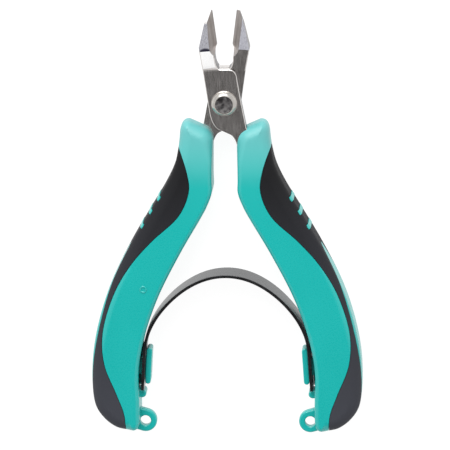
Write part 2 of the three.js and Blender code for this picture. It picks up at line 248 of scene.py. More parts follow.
def quadratic(start, control, end, steps=8):
    """A curve from start to end, pulled towards control, without its first point."""
    start, control, end = (np.array(point, float) for point in (start, control, end))
    shares = [k / steps for k in range(1, steps + 1)]
    return [tuple((1 - t)**2 * start + 2 * t * (1 - t) * control + t**2 * end) for t in shares]


def arc(centre, radius, start, end, steps):
    """Points on a circle from one angle to another, with both ends."""
    angles = np.linspace(start, end, steps + 1)
    return [(centre[0] + radius * math.cos(a), centre[1] + radius * math.sin(a)) for a in angles]


def capsule(first, last, radius, steps=10):
    """The outline of a bar with round ends, from first to last."""
    angle = math.atan2(first[1] - last[1], first[0] - last[0])
    return (arc(first, radius, angle - math.pi / 2, angle + math.pi / 2, steps)
            + arc(last, radius, angle + math.pi / 2, angle + 1.5 * math.pi, steps))


def mirrored(points, side):
    return [(side * x, y) for x, y in points]


def distinct(points):
    """The closed outline without points that repeat the one before."""
    kept = [p for i, p in enumerate(points) if math.dist(p, points[i - 1]) > SAME_PLACE]
    return np.array(kept, float)


def evenly_spaced(points, spacing):
    """The closed outline again, with its points about spacing apart."""
    closed = np.vstack([points, points[:1]])
    lengths = np.r_[0, np.cumsum(np.linalg.norm(np.diff(closed, axis=0), axis=1))]
    places = np.linspace(0, lengths[-1], int(lengths[-1] / spacing) + 1)[:-1]
    return np.column_stack([np.interp(places, lengths, closed[:, k]) for k in (0, 1)])


def inward_normals(points):
    """The way inwards at each point of a closed outline, longer at corners to keep walls parallel."""
    x, y = points[:, 0], points[:, 1]
    turn = 1 if np.sum(x * np.roll(y, -1) - np.roll(x, -1) * y) > 0 else -1
    arriving = points - np.roll(points, 1, axis=0)
    leaving = np.roll(points, -1, axis=0) - points
    arriving /= np.linalg.norm(arriving, axis=1)[:, None]
    leaving /= np.linalg.norm(leaving, axis=1)[:, None]
    along = arriving + leaving
    along /= np.linalg.norm(along, axis=1)[:, None]
    stretch = 1 / np.maximum(1 / LONGEST_CORNER, np.sum(along * leaving, axis=1))
    return turn * np.column_stack([-along[:, 1], along[:, 0]]) * stretch[:, None]


def distance_to_outline(places, points):
    """How far each place is from the closed outline."""
    ends = np.roll(points, -1, axis=0)
    along = ends - points
    from_start = places[:, None, :] - points[None, :, :]
    share = np.clip(np.sum(from_start * along, axis=2) / np.sum(along**2, axis=1), 0, 1)
    nearest = points[None, :, :] + share[:, :, None] * along[None, :, :]
    return np.linalg.norm(places[:, None, :] - nearest, axis=2).min(axis=1)


def inset(points, distances):
    """The outline moved inwards, with places that fold over each other drawn out straight."""
    distances = np.broadcast_to(np.asarray(distances, float), (len(points),))
    moved = points + inward_normals(points) * distances[:, None]
    folded = distance_to_outline(moved, points) < FOLD_SHARE * np.abs(distances) - SAME_PLACE
    good = np.flatnonzero(~folded)
    if len(good) == len(points):
        return moved
    count = len(points)
    wrapped = np.r_[good - count, good, good + count]
    return np.column_stack([
        np.interp(np.arange(count), wrapped, np.tile(moved[good, k], 3)) for k in (0, 1)])


# ---- Meshes, made in millimetres ----

def mesh_object(name, corners, faces):
    mesh = bpy.data.meshes.new(name)
    mesh.from_pydata([tuple(map(float, corner)) for corner in corners], [], faces)
    shape = bmesh.new()
    shape.from_mesh(mesh)
    bmesh.ops.recalc_face_normals(shape, faces=shape.faces)
    shape.to_mesh(mesh)
    shape.free()
    piece = bpy.data.objects.new(name, mesh)
    bpy.context.scene.collection.objects.link(piece)
    return piece


def loft(name, rings, closed=False):
    """Skins rings of equal length one after the other, with a face at each end unless closed."""
    count = len(rings[0])
    corners = [corner for ring in rings for corner in ring]
    faces = []
    for r in range(len(rings) if closed else len(rings) - 1):
        low = r * count
        high = (r + 1) % len(rings) * count
        for i in range(count):
            j = (i + 1) % count
            faces.append((low + i, low + j, high + j, high + i))
    if not closed:
        faces.append(tuple(range(count)))
        faces.append(tuple(range(len(corners) - count, len(corners))))
    return mesh_object(name, corners, faces)


def at_height(outline, z):
    return [(x, y, z) for x, y in outline]


def prism(name, outline, low, high):
    return loft(name, [at_height(outline, low), at_height(outline, high)])


def slab(name, outline, half_thickness, radii_across, radii_deep, steps=6):
    """A slab with rounded long edges: radii_across in the plane of the outline, radii_deep in Z."""
    across = np.broadcast_to(np.asarray(radii_across, float), (len(outline),))
    deep = np.broadcast_to(np.asarray(radii_deep, float), (len(outline),))
    top = []
    for k in range(steps + 1):
        angle = k / steps * math.pi / 2
        places = inset(outline, across * (1 - math.cos(angle)))
        heights = half_thickness - deep * (1 - math.sin(angle))
        top.append(np.column_stack([places, heights]))
    bottom = [ring * np.array([1, 1, -1]) for ring in reversed(top)]
    return loft(name, bottom + top)


def lathe(name, profile, segments=96):
    """Turns a profile of (radius, height) about Z. It starts and ends on the axis."""
    corners = [(0, 0, profile[0][1])]
    for radius, height in profile[1:-1]:
        corners += [(x, y, height) for x, y in arc((0, 0), radius, 0, 2 * math.pi, segments)[:-1]]
    corners.append((0, 0, profile[-1][1]))
    rings = len(profile) - 2
    last = len(corners) - 1
    faces = []
    for i in range(segments):
        j = (i + 1) % segments
        faces.append((0, 1 + j, 1 + i))
        for r in range(rings - 1):
            low, high = 1 + r * segments, 1 + (r + 1) * segments
            faces.append((low + i, low + j, high + j, high + i))
        faces.append((last, last - segments + i, last - segments + j))
    return mesh_object(name, corners, faces)


def combined(first, operation, *others):
    """first with the others cut away (DIFFERENCE), joined (UNION) or kept in common (INTERSECT)."""
    for other in others:
        step = first.modifiers.new("step", "BOOLEAN")
        step.operation = operation
        step.object = other
        step.solver = "MANIFOLD"
    bpy.context.view_layer.update()
    shaped = first.evaluated_get(bpy.context.evaluated_depsgraph_get())
    mesh = bpy.data.meshes.new_from_object(shaped)
    first.modifiers.clear()
    first.data = mesh
    for other in others:
        bpy.data.objects.remove(other)
    return first


def copied(piece, name):
    twin = bpy.data.objects.new(name, piece.data.copy())
    bpy.context.scene.collection.objects.link(twin)
    return twin


def sliced(piece, places, axis):
    """Cuts a mesh's faces along planes across axis, so that they can bend there."""
    shape = bmesh.new()
    shape.from_mesh(piece.data)
    for place in places:
        everything = shape.verts[:] + shape.edges[:] + shape.faces[:]
        bmesh.ops.bisect_plane(shape, geom=everything, plane_co=Vector(axis) * place, plane_no=axis)
    shape.to_mesh(piece.data)
    shape.free()
    return piece


def box(name, low, high):
    outline = [(low[0], low[1]), (high[0], low[1]), (high[0], high[1]), (low[0], high[1])]
    return prism(name, outline, low[2], high[2])


def smooth_step(value, start, end):
    share = min(max((value - start) / (end - start), 0), 1)
    return share * share * (3 - 2 * share)


def placed(piece, opening):
    """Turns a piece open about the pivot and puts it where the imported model's pivot is."""
    turned = Matrix.Rotation(opening, 4, "Z") @ Matrix.Diagonal((MM, MM, MM, 1))
    piece.data.transform(Matrix.Translation(PIVOT) @ turned)
    return piece


def finished(piece, sharp_angle=32):
    """Smooth shading, with creases only where the surface turns sharply."""
    piece.data.shade_smooth()
    piece.data.set_sharp_from_angle(angle=math.radians(sharp_angle))
    weighted = piece.modifiers.new("even_shading", "WEIGHTED_NORMAL")
    weighted.keep_sharp = True
    return piece


def on_leg(along, outwards):
    """A place on the spring's right leg: along it from its top, and outwards from its inner face."""
    cos, sin = math.cos(SPRING_LEG_ANGLE), math.sin(SPRING_LEG_ANGLE)
    top = (SPRING_RADIUS * cos, SPRING_CENTRE_Y + SPRING_RADIUS * sin)
    return top[0] + along * sin + outwards * cos, top[1] - along * cos + outwards * sin


def closed_place(point):
    """A place on the open tool's right side, in the closed half's frame."""
    cos, sin = math.cos(HALF_OPENING), math.sin(HALF_OPENING)
    return point[0] * cos + point[1] * sin, -point[0] * sin + point[1] * cos


# ---- Levers ----

def jaw_outline(side):
    """From the heel of the cutting edge round the tip to the jaw's outer corner."""
    if side > 0:
        tip = [(-0.3, TIP_Y), (-1.95, 21.1), (-2.55, 21.25)]
    else:
        tip = [(-0.95, TIP_Y), (-2.4, 21.4)]
    return [(-EDGE_X, HEEL_Y), (-EDGE_X, TIP_Y), *tip, (-4.75, JAW_CORNER_Y)]


def lever_outline(side):
    tang_start = TANG_INNER_EDGE[0]
    lap_start = (3.4, 8.55)
    points = [*jaw_outline(side), (-4.35, 8.5), (-4.2, -1.8)]
    points += quadratic(points[-1], (-4.1, -5.7), (-2.2, -6.9))
    points += [(0.5, -8.6)]
    points += quadratic(points[-1], (1.6, -9.4), tang_start)
    points += spline(TANG_INNER_EDGE, 6)
    points += spline([points[-1], *TANG_END], 6)
    points += spline([points[-1], *TANG_OUTER_EDGE], 6)
    points += [(4.4, 0.5), (4.25, 6.9)]
    points += quadratic(points[-1], (4.1, 8.1), lap_start)
    points += arc((0, 0), LAP_RADIUS, math.atan2(lap_start[1], lap_start[0]), LAP_END_ANGLE, 14)
    points += quadratic(points[-1], (-0.75, 9.6), (-0.85, 11.4))
    points += quadratic(points[-1], (-0.95, 14), (-EDGE_X, HEEL_Y), 12)
    return distinct(mirrored(points, side))


def groove_cutter(side):
    """The hollow-ground recess in front of the cutting edge, with a round run-out behind the heel."""
    hollow = [(-GROOVE_RADIUS_X * math.cos(a), GROOVE_CENTRE_Z - GROOVE_RADIUS_Z * math.sin(a))
              for a in np.linspace(0, GROOVE_LAST_ANGLE, 18)]
    top_z = PLATE_FACE_Z + 1
    profile = [(-GROOVE_RADIUS_X, top_z), *hollow, (1, hollow[-1][1]), (1, top_z)]
    sections = [(GROOVE_END_Y + GROOVE_RUNOUT * share, math.sqrt(1 - (1 - share)**2))
                for share in np.linspace(0.08, 1, 12)]
    sections.append((TIP_Y + 2, 1))
    return loft("groove", [[(side * size * x, y, top_z - size * (top_z - z)) for x, z in profile]
                           for y, size in sections])


def facet_turn(side):
    """How the facet's plane leans, from flat."""
    return Matrix.Rotation(-side * FACET_TILT, 4, "Y") @ Matrix.Rotation(-FACET_SLOPES[side], 4, "X")


def facet_cutter(side):
    width, length, height = 12, 14, 4
    cutter = box("facet", (-width / 2, 0, 0), (width / 2, length, height))
    start = Vector((-side * GROOVE_RADIUS_X, FACET_STARTS[side], PLATE_FACE_Z - FACET_DROPS[side]))
    cutter.data.transform(Matrix.Translation(start) @ facet_turn(side))
    return cutter


def relieved(piece):
    """Bends the front of a jaw down a little between the head and the facet."""
    span = RELIEF_END_Y - RELIEF_START_Y
    for corner in piece.data.vertices:
        if corner.co.z > 0 and corner.co.y > RELIEF_START_Y:
            into = min(corner.co.y - RELIEF_START_Y, span)
            past = max(corner.co.y - RELIEF_END_Y, 0)
            corner.co.z -= math.tan(RELIEF_SLOPE) * (into**2 / (2 * span) + past)
    return piece


def lever(name, side):
    """One jaw with its half of the lap joint and its tang. Side 1 lies in front."""
    piece = slab(name, lever_outline(side), PLATE_FACE_Z, CHAMFER_ACROSS, CHAMFER_DEEP, 1)
    if side > 0:
        piece = relieved(sliced(piece, np.arange(RELIEF_START_Y, HEEL_Y, RELIEF_SLICE), (0, 1, 0)))
    low = -PLATE_FACE_Z - 1 if side > 0 else -PLATE_LAP_Z
    high = PLATE_LAP_Z if side > 0 else PLATE_FACE_Z + 1
    other_plate = box("other", (-CUT_REACH, LAP_STEP_Y - 2 * CUT_REACH, low), (CUT_REACH, LAP_STEP_Y, high))
    hole = prism("hole", arc((0, 0), RIVET_HOLE_RADIUS, 0, 2 * math.pi, 64)[:-1],
                 -CUT_HALF_HEIGHT, CUT_HALF_HEIGHT)
    return combined(piece, "DIFFERENCE", other_plate, hole, groove_cutter(side), facet_cutter(side))


# ---- Rivet ----

def head_profile(rim_radius, height):
    """A rivet head on its seat: a rounded rim around a shallow dished disc."""
    base = PLATE_FACE_Z + RIVET_SEAT_GAP
    width = rim_radius - RIVET_DISC_RADIUS
    lip_width = 0.08 * width
    crest = RIVET_DISC_RADIUS + lip_width
    skirt = 0.1 * height
    rim = [(crest + (rim_radius - crest) * math.cos(a)**RIVET_RIM_POWER,
            base + skirt + (height - skirt) * math.sin(a)**RIVET_RIM_POWER)
           for a in np.linspace(0, math.pi / 2, 14)]
    lip = [(RIVET_DISC_RADIUS + lip_width * math.cos(a),
            base + height - RIVET_DISC_DEPTH * (1 - math.sin(a)))
           for a in np.linspace(math.pi / 2, math.pi, 5)[1:]]
    top = base + height - RIVET_DISC_DEPTH
    dish = [(RIVET_DISC_RADIUS * share, top - RIVET_DISH_DEPTH * (1 - share**2))
            for share in (0.9, 0.7, 0.45, 0.2)]
    return [(rim_radius - RIVET_UNDERCUT, base), *rim, *lip, *dish, (0, top - RIVET_DISH_DEPTH)]


def rivet_barrel():
    profile = [
        (0, RIVET_BORE_END_Z), (RIVET_BORE_RADIUS, RIVET_BORE_END_Z),
        (RIVET_BORE_RADIUS, RIVET_BARREL_END_Z), (RIVET_BARREL_RADIUS, RIVET_BARREL_END_Z),
        (RIVET_BARREL_RADIUS, PLATE_FACE_Z + RIVET_SEAT_GAP),
        *head_profile(RIVET_HEAD_RADIUS, RIVET_HEAD_HEIGHT),
    ]
    return lathe("rivet_barrel_turned", profile)


def rivet_pin():
    """Drawn like the barrel, then turned over so that its head lies behind the rear plate."""
    profile = [
        (0, -RIVET_PIN_END_Z), (RIVET_PIN_RADIUS, -RIVET_PIN_END_Z),
        (RIVET_PIN_RADIUS, PLATE_FACE_Z + RIVET_SEAT_GAP),
        *head_profile(RIVET_REAR_HEAD_RADIUS, RIVET_REAR_HEAD_HEIGHT),
    ]
    pin = lathe("rivet_pin_turned", profile)
    pin.data.transform(Matrix.Rotation(math.pi, 4, "X"))
    return pin


# ---- Leaf spring ----

def arch(radius, start, end):
    """An arc that is a little flatter halfway between its top and its legs."""
    points = []
    for a in np.linspace(start, end, 91):
        reach = radius - SPRING_FLATTENING * math.sin(2 * a)**2
        points.append((reach * math.cos(a), SPRING_CENTRE_Y + reach * math.sin(a)))
    return points


def spring_outline():
    outer = SPRING_RADIUS + SPRING_THICKNESS
    top, far = SPRING_LEG_ANGLE, math.pi - SPRING_LEG_ANGLE
    steps = 8
    lengths = np.linspace(SPRING_LEG_LENGTH, 0, steps, endpoint=False)
    outside = [on_leg(along, SPRING_THICKNESS) for along in lengths]
    inside = [on_leg(along, 0) for along in lengths]
    points = outside + arch(outer, top, far)
    points += mirrored(reversed(outside), -1) + mirrored(inside, -1)
    points += arch(SPRING_RADIUS, far, top) + list(reversed(inside))
    return distinct(points)


def leg_slot(side):
    radius = POST_HALF_WIDTH + SLOT_CLEARANCE
    start, end = POST_START - SLOT_CLEARANCE, POST_END + SLOT_CLEARANCE
    window = capsule((start + radius, 0), (end - radius, 0), radius)
    reach = 2 * SPRING_THICKNESS
    rings = []
    for outwards in (-reach, reach):
        places = [(on_leg(along, outwards), z) for along, z in window]
        rings.append([(side * x, y, z) for (x, y), z in places])
    return loft("slot", rings)


def leaf_spring():
    band = slab("leaf_spring_band", spring_outline(), SPRING_HALF_WIDTH,
                SPRING_EDGE_RADIUS, SPRING_EDGE_RADIUS, 3)
    return combined(band, "DIFFERENCE", leg_slot(1), leg_slot(-1))


# ---- Grips ----

def grip_outline(side):
    points = [GRIP_INNER_EDGE[0], *spline(GRIP_INNER_EDGE)]
    points += quadratic(points[-1], (11.7, -91.9), GRIP_OUTER_EDGE[0])
    points += spline(GRIP_OUTER_EDGE)
    points += quadratic(points[-1], (10.65, -6.05), (8.6, -6.1))
    points += [(4.6, -7.3)]
    points += quadratic(points[-1], (1.9, -8.2), GRIP_INNER_EDGE[0])
    return evenly_spaced(distinct(mirrored(points, side)), GRIP_POINT_SPACING)


def middle_x(y):
    """The middle of the handle's width at this height, on the closed half."""
    edges = (GRIP_INNER_EDGE[::-1], GRIP_OUTER_EDGE)
    inner, outer = (np.interp(y, [point[1] for point in edge], [point[0] for point in edge])
                    for edge in edges)
    return (inner + outer) / 2


def edge_radii(outline, side):
    """How round the grip's edge is at each point: tight inside, full outside, easing between them."""
    outwards = np.array([side * x - middle_x(y) for x, y in outline])
    share = np.clip((outwards + EDGE_EASING_REACH) / (2 * EDGE_EASING_REACH), 0, 1)
    share = share * share * (3 - 2 * share)
    top = np.array([smooth_step(y, TOP_ROUNDING_START_Y, TOP_ROUNDING_END_Y) for _, y in outline])
    sides = [low + (high - low) * share for low, high in zip(INNER_EDGE_RADII, OUTER_EDGE_RADII)]
    return [at_side + (at_top - at_side) * top for at_side, at_top in zip(sides, TOP_EDGE_RADII)]


def thinned(piece):
    """Thins the handle towards the head."""
    places = np.arange(GRIP_THINNING_START_Y, GRIP_THINNING_END_Y, GRIP_THINNING_SLICE)
    piece = sliced(piece, places, (0, 1, 0))
    for corner in piece.data.vertices:
        share = smooth_step(corner.co.y, GRIP_THINNING_START_Y, GRIP_THINNING_END_Y)
        corner.co.z *= 1 - GRIP_TOP_THINNING * share
    return piece


def whole_grip(name, side, depth=0.0):
    """The outside of the whole handle, or the same shape depth inside it."""
    outline = grip_outline(side)
    across, deep = edge_radii(outline, side)
    if depth:
        outline = evenly_spaced(distinct([tuple(p) for p in inset(outline, depth)]), GRIP_POINT_SPACING)
        radii = edge_radii(outline, side)
        across, deep = (np.maximum(radius - depth, SMALLEST_EDGE_RADIUS) for radius in radii)
    return thinned(slab(name, outline, GRIP_HALF_THICKNESS - depth, across, deep, 8))


def pad_region(name, side, allowance=0.0):
    """Everything on the outer side of the curve that parts the pad from the core."""
    boundary = [PAD_BOUNDARY[0], *spline(PAD_BOUNDARY, 12)]
    outline = distinct(mirrored(boundary + BEYOND_THE_PAD, side))
    return prism(name, inset(outline, -allowance), -CUT_HALF_HEIGHT, CUT_HALF_HEIGHT)


def spine_region(name, side, allowance=0.0):
    """The long lens on the outer side where the core shows between the two pad faces."""
    margin = 2
    edge = [(x, y) for x, y in spline(GRIP_OUTER_EDGE, 6)
            if SPINE_END_Y - margin < y < SPINE_TOP_Y + margin]
    depth = SPINE_DEPTH + allowance
    inside = [(x - depth, y) for x, y in edge]
    outside = [(x + depth, y) for x, y in reversed(edge)]
    band = prism(name, distinct(mirrored(inside + outside, side)), -CUT_HALF_HEIGHT, CUT_HALF_HEIGHT)
    middle, half = (SPINE_TOP_Y + SPINE_END_Y) / 2, (SPINE_TOP_Y - SPINE_END_Y) / 2
    angles = np.linspace(0, 2 * math.pi, 49)[:-1]
    half_width = SPINE_HALF_WIDTH + allowance
    bulge = [math.copysign(abs(math.sin(a))**SPINE_POINTEDNESS, math.sin(a)) for a in angles]
    lens = [(middle + half * math.cos(a), half_width * share) for a, share in zip(angles, bulge)]
    window = loft("window", [[(x, y, z) for y, z in lens] for x in (-CUT_REACH, CUT_REACH)])
    return combined(band, "INTERSECT", window)


def rib(name, centre, side, allowance=0.0):
    """A short bar across the handle's outer side, round at its ends, with a root inside the handle."""
    middle = Vector(centre)
    outer = middle + RIB_DIRECTION * RIB_REACH
    root = middle - RIB_DIRECTION * RIB_ROOT_LENGTH
    radius = RIB_RADIUS + allowance
    bar = distinct(mirrored(capsule(tuple(outer), tuple(middle), radius), side))
    foot = distinct(mirrored(capsule(tuple(middle), tuple(root), radius), side))
    shape = slab(name, bar, RIB_HALF_LENGTH + allowance, RIB_EDGE_RADIUS, RIB_EDGE_RADIUS, 3)
    return combined(shape, "UNION", prism("foot", foot, -RIB_ROOT_HALF_LENGTH, RIB_ROOT_HALF_LENGTH))


def keeper(name, side):
    """The bar that holds the spring's leg against the handle."""
    middle = -KEEPER_GAP - KEEPER_THICKNESS / 2
    radius = KEEPER_THICKNESS / 2
    top = closed_place(on_leg(KEEPER_START + radius, middle))
    end = closed_place(on_leg(KEEPER_END - radius, middle))
    outline = distinct(mirrored(capsule(top, end, radius), side))
    return slab(name, outline, KEEPER_HALF_WIDTH, KEEPER_EDGE_RADIUS, KEEPER_EDGE_RADIUS, 4)


def keeper_post(name, side):
    """The post through the leg's slot that carries the keeper."""
    middle = -KEEPER_GAP - KEEPER_THICKNESS / 2
    corners = [(POST_START, middle), (POST_END, middle), (POST_END, POST_REACH), (POST_START, POST_REACH)]
    outline = distinct(mirrored([closed_place(on_leg(*corner)) for corner in corners], side))
    return slab(name, outline, POST_HALF_WIDTH, POST_EDGE_RADIUS, POST_EDGE_RADIUS, 2)


def leg_seat(name, side):
    """The ledge behind the spring's leg, low in the gap between the leg and the handle."""
    near = SPRING_THICKNESS + SEAT_GAP
    corners = [(KEEPER_START, near), (SPRING_LEG_LENGTH - SEAT_GAP, near),
               (SPRING_LEG_LENGTH - SEAT_GAP, SEAT_REACH), (KEEPER_START, SEAT_REACH)]
    outline = distinct(mirrored([closed_place(on_leg(*corner)) for corner in corners], side))
    return prism(name, outline, SEAT_LOW_Z, SEAT_HIGH_Z)


def spring_stop(name, side):
    """The nub under the end of the spring's leg."""
    centre = closed_place(on_leg(SPRING_LEG_LENGTH + STOP_GAP + STOP_RADIUS, STOP_OFFSET))
    root = closed_place(on_leg(SPRING_LEG_LENGTH + STOP_GAP + STOP_RADIUS, STOP_OFFSET + STOP_RADIUS))
    outline = distinct(mirrored(capsule(centre, root, STOP_RADIUS), side))
    return slab(name, outline, KEEPER_HALF_WIDTH, STOP_EDGE_RADIUS, STOP_EDGE_RADIUS, 4)


def eye(name, side):
    """The lanyard eye at the end of the handle, on a root that runs into it."""
    centre = closed_place(EYE_CENTRE)
    root = (centre[0] + EYE_ROOT_LENGTH, centre[1] + EYE_ROOT_RISE)
    outline = distinct(mirrored(capsule(centre, root, EYE_RADIUS, 20), side))
    return slab(name, outline, EYE_HALF_THICKNESS, EYE_EDGE_RADIUS, EYE_EDGE_RADIUS, 4)


def eye_hole(name, side):
    """A hole that flares at both ends."""
    centre = closed_place(EYE_CENTRE)
    wide = EYE_HOLE_RADIUS + EYE_HOLE_FLARE
    waist = EYE_HALF_THICKNESS - EYE_HOLE_FLARE
    sections = [(-CUT_HALF_HEIGHT, wide), (-EYE_HALF_THICKNESS, wide), (-waist, EYE_HOLE_RADIUS),
                (waist, EYE_HOLE_RADIUS), (EYE_HALF_THICKNESS, wide), (CUT_HALF_HEIGHT, wide)]
    rings = []
    for height, radius in sections:
        circle = arc(centre, radius, 0, 2 * math.pi, 40)[:-1]
        rings.append(at_height(mirrored(circle, side), height))
    return loft(name, rings)


def gate_mark(name, side):
    """The small raised ring that a moulding pin leaves on one handle's face."""
    tube = arc((MARK_RADIUS, GRIP_HALF_THICKNESS - MARK_SINK), MARK_TUBE, 0, 2 * math.pi, 10)[:-1]
    rings = []
    for around in np.linspace(0, 2 * math.pi, 33)[:-1]:
        rings.append([(side * MARK_CENTRE[0] + radius * math.cos(around),
                       MARK_CENTRE[1] + radius * math.sin(around), height) for radius, height in tube])
    return loft(name, rings, closed=True)


def tang_slot(name, side):
    """The room inside the moulding for the lever's tang."""
    low, high = (PLATE_LAP_Z, PLATE_FACE_Z) if side > 0 else (-PLATE_FACE_Z, -PLATE_LAP_Z)
    outline = inset(lever_outline(side), -TANG_CLEARANCE)
    return prism(name, outline, low - TANG_CLEARANCE, high + TANG_CLEARANCE)


def grip_core(name, side):
    """The hard moulding over the tang, with everything that stands out of it."""
    shell = whole_grip("shell", side)
    proud_shell = whole_grip("proud_shell", side, -RIB_PROUD)
    ribs = rib("ribs", RIB_CENTRES[0], side)
    ribs = combined(ribs, "UNION", *[rib("rib", centre, side) for centre in RIB_CENTRES[1:]])
    ribs = combined(ribs, "INTERSECT", proud_shell)
    spine = combined(spine_region("spine", side), "INTERSECT", copied(shell, "shell_again"))
    core = combined(copied(shell, name), "DIFFERENCE", pad_region("pocket", side, SEAM))
    core = combined(core, "UNION", whole_grip("under_pad", side, PAD_THICKNESS + SEAM / 2), spine, ribs,
                    keeper("keeper", side), keeper_post("post", side), leg_seat("seat", side),
                    spring_stop("stop", side), eye("eye", side))
    if side < 0:
        core = combined(core, "UNION", gate_mark("mark", side))
    bpy.data.objects.remove(shell)
    return combined(core, "DIFFERENCE", eye_hole("hole", side), tang_slot("slot", side))


def grip_pad(name, side):
    """The soft skin over the core's outer side, open over the spine and the ribs."""
    pad = combined(whole_grip(name, side), "INTERSECT", pad_region("region", side))
    openings = [rib("opening", centre, side, SEAM) for centre in RIB_CENTRES]
    return combined(pad, "DIFFERENCE", whole_grip("hollow", side, PAD_THICKNESS),
                    spine_region("spine_opening", side, SEAM), *openings)


# ---- Materials ----

def shader(name, colour, roughness, metallic=0.0):
    """A new material and its surface shader."""
    material = bpy.data.materials.new(name)
    material.use_nodes = True
    surface = material.node_tree.nodes["Principled BSDF"]
    surface.inputs["Base Color"].default_value = (*colour, 1)
    surface.inputs["Roughness"].default_value = roughness
    surface.inputs["Metallic"].default_value = metallic
    return material, surface


def object_place(material):
    """The place on the object, in its own frame, in metres."""
    return material.node_tree.nodes.new("ShaderNodeTexCoord").outputs["Object"]


def object_y(material):
    """The place along the handles, in the object's own frame, in metres."""
    parts = material.node_tree.nodes.new("ShaderNodeSeparateXYZ")
    material.node_tree.links.new(object_place(material), parts.inputs["Vector"])
    return parts.outputs["Y"]


def noise(material, scale, detail=4.0, offset=(0, 0, 0)):
    """Noise in the object's own frame. scale is in cycles per millimetre along X, Y and Z."""
    nodes, links = material.node_tree.nodes, material.node_tree.links
    stretch = nodes.new("ShaderNodeMapping")
    stretch.inputs["Scale"].default_value = [cycles / MM for cycles in scale]
    stretch.inputs["Location"].default_value = offset
    texture = nodes.new("ShaderNodeTexNoise")
    texture.inputs["Scale"].default_value = 1
    texture.inputs["Detail"].default_value = detail
    links.new(object_place(material), stretch.inputs["Vector"])
    links.new(stretch.outputs["Vector"], texture.inputs["Vector"])
    return texture.outputs["Fac"]


def ranged(material, value, low, high, from_low=0.3, from_high=0.7):
    """The value spread over low to high."""
    spread = material.node_tree.nodes.new("ShaderNodeMapRange")
    spread.inputs["From Min"].default_value = from_low
    spread.inputs["From Max"].default_value = from_high
    spread.inputs["To Min"].default_value = low
    spread.inputs["To Max"].default_value = high
    material.node_tree.links.new(value, spread.inputs["Value"])
    return spread.outputs["Result"]


def mixed_colour(material, surface, share, first, second):
    """Colours the surface from first to second by share."""
    mix = material.node_tree.nodes.new("ShaderNodeMix")
    mix.data_type = "RGBA"
    mix.inputs["A"].default_value = (*first, 1)
    mix.inputs["B"].default_value = (*second, 1)
    material.node_tree.links.new(share, mix.inputs["Factor"])
    material.node_tree.links.new(mix.outputs["Result"], surface.inputs["Base Color"])
    return mix


def roughened(material, surface, roughness):
    material.node_tree.links.new(roughness, surface.inputs["Roughness"])


def bump(material, surface, height, depth):
    """Raises the surface by height times depth, in millimetres."""
    node = material.node_tree.nodes.new("ShaderNodeBump")
    node.inputs["Distance"].default_value = depth * MM
    material.node_tree.links.new(height, node.inputs["Height"])
    material.node_tree.links.new(node.outputs["Normal"], surface.inputs["Normal"])


def steel(name, colour, blotch, roughness, grind_depth):
    """Steel ground along the jaws: fine streaks in roughness and height, and faint darker blotches."""
    material, surface = shader(name, colour, roughness, 1.0)
    streaks = noise(material, (7, 0.35, 7), 5)
    blotches = noise(material, (0.35, 0.2, 0.35), 3, (3, 1, 5))
    mixed_colour(material, surface, ranged(material, blotches, 0, 1), colour, blotch)
    roughened(material, surface, ranged(material, streaks, roughness * 0.75, roughness * 1.35))
    bump(material, surface, streaks, grind_depth)
    surface.inputs["Anisotropic"].default_value = 0.35
    return material


def painted_run_out_shade(material):
    """Paints shade on the left facet: a dark crescent where the grinding wheel ran out against the step."""
    nodes, links = material.node_tree.nodes, material.node_tree.links
    surface = nodes["Principled BSDF"]
    centre_y = FACET_STARTS[1] + FACET_SHADE_HEIGHT - FACET_SHADE_RADIUS
    closed = Vector((-GROOVE_RADIUS_X - FACET_SHADE_ACROSS, centre_y, PLATE_FACE_Z - FACET_DROPS[1]))
    distance = nodes.new("ShaderNodeVectorMath")
    distance.operation = "DISTANCE"
    distance.inputs[1].default_value = PIVOT + Matrix.Rotation(HALF_OPENING, 3, "Z") @ closed * MM
    links.new(object_place(material), distance.inputs[0])
    share = ranged(material, distance.outputs["Value"], 0, 1,
                   (FACET_SHADE_RADIUS - FACET_SHADE_INSIDE) * MM,
                   (FACET_SHADE_RADIUS + FACET_SHADE_OUTSIDE) * MM)
    ground = surface.inputs["Base Color"].links[0].from_socket
    # Painted shade: near black inside the crescent, fading to the ground steel outside it.
    shaded = mixed_colour(material, surface, share, (0.02, 0.02, 0.03), (0.4, 0.4, 0.44))
    links.new(ground, shaded.inputs["B"])


def dark_disc(name):
    """The rivet head's flat middle: dark, dull steel, mottled lighter in places."""
    material, surface = shader(name, (0.2, 0.19, 0.19), 0.35, 1.0)
    stains = noise(material, (0.8, 0.8, 0.8), 8, (2, 7, 4))
    share = ranged(material, stains, 0, 1, 0.38, 0.62)
    mixed_colour(material, surface, share, (0.09, 0.085, 0.087), (0.25, 0.24, 0.24))
    roughened(material, surface, ranged(material, stains, 0.28, 0.5))
    bump(material, surface, stains, 0.03)
    return material


def plated(name):
    """Bright plating, with fine turning rings around the pivot."""
    material, surface = shader(name, (0.52, 0.5, 0.47), 0.26, 1.0)
    nodes, links = material.node_tree.nodes, material.node_tree.links
    centred = nodes.new("ShaderNodeMapping")
    centred.inputs["Location"].default_value = [-value / MM for value in PIVOT]
    centred.inputs["Scale"].default_value = (1 / MM, 1 / MM, 1 / MM)
    rings = nodes.new("ShaderNodeTexWave")
    rings.wave_type = "RINGS"
    rings.rings_direction = "Z"
    rings.inputs["Scale"].default_value = 1.6
    rings.inputs["Distortion"].default_value = 0.6
    links.new(object_place(material), centred.inputs["Vector"])
    links.new(centred.outputs["Vector"], rings.inputs["Vector"])
    stains = noise(material, (0.9, 0.9, 0.9), 6)
    mixed_colour(material, surface, ranged(material, stains, 0, 1), (0.52, 0.5, 0.47), (0.4, 0.38, 0.36))
    roughened(material, surface, ranged(material, stains, 0.2, 0.32))
    bump(material, surface, rings.outputs["Fac"], 0.004)
    return material


